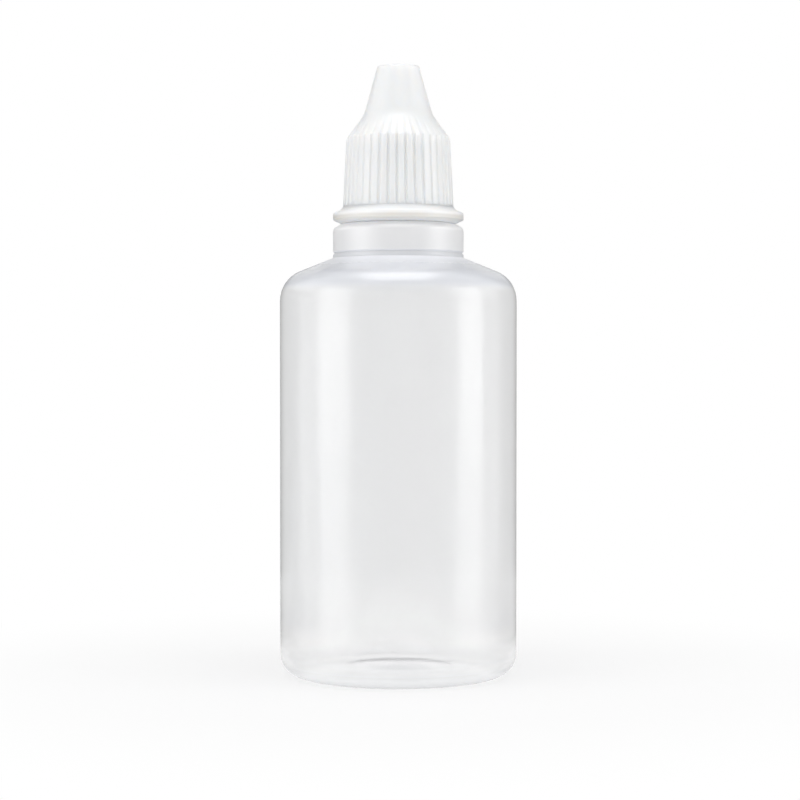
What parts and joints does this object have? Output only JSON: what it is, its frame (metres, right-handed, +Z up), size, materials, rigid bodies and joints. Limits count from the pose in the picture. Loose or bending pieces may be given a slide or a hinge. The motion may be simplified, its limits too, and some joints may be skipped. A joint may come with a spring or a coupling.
{
  "type": "eye drop bottle",
  "caption": "Translucent squeeze bottle with a press-fit dropper plug, a ribbed screw cap with a conical nose, and a tamper ring, for giving liquid drop by drop.",
  "frame": {"origin": "centre of the base, on the plane of the ring that the bottle stands on", "axes": "+Z up along the bottle's axis, -Y towards the viewer of the picture"},
  "size_m": [0.035, 0.035, 0.09],
  "materials": {
    "bottle_plastic": "milky translucent, smooth and glossy",
    "plug_plastic": "natural milky white, satin",
    "cap_plastic": "opaque white, satin gloss"
  },
  "bodies": {
    "bottle_body": {"bottle": "bottle_plastic", "dropper_plug": "plug_plastic"},
    "ring_body": {"tamper_ring": "cap_plastic"},
    "cap_body": {"cap": "cap_plastic"}
  },
  "joints": [
    {"name": "cap_turn", "type": "hinge", "parent": "bottle_body", "child": "ring_body", "pos_m": [0, 0, 0.068], "axis": [0, 0, 1], "range_deg": [0, 2808]},
    {"name": "cap_rise", "type": "slide", "parent": "ring_body", "child": "cap_body", "axis": [0, 0, 1], "range_m": [0, 0.0195]}
  ],
  "couplings": [
    {"joint": "cap_rise", "follows": "cap_turn", "m_per_rad": 0.00039788}
  ]
}
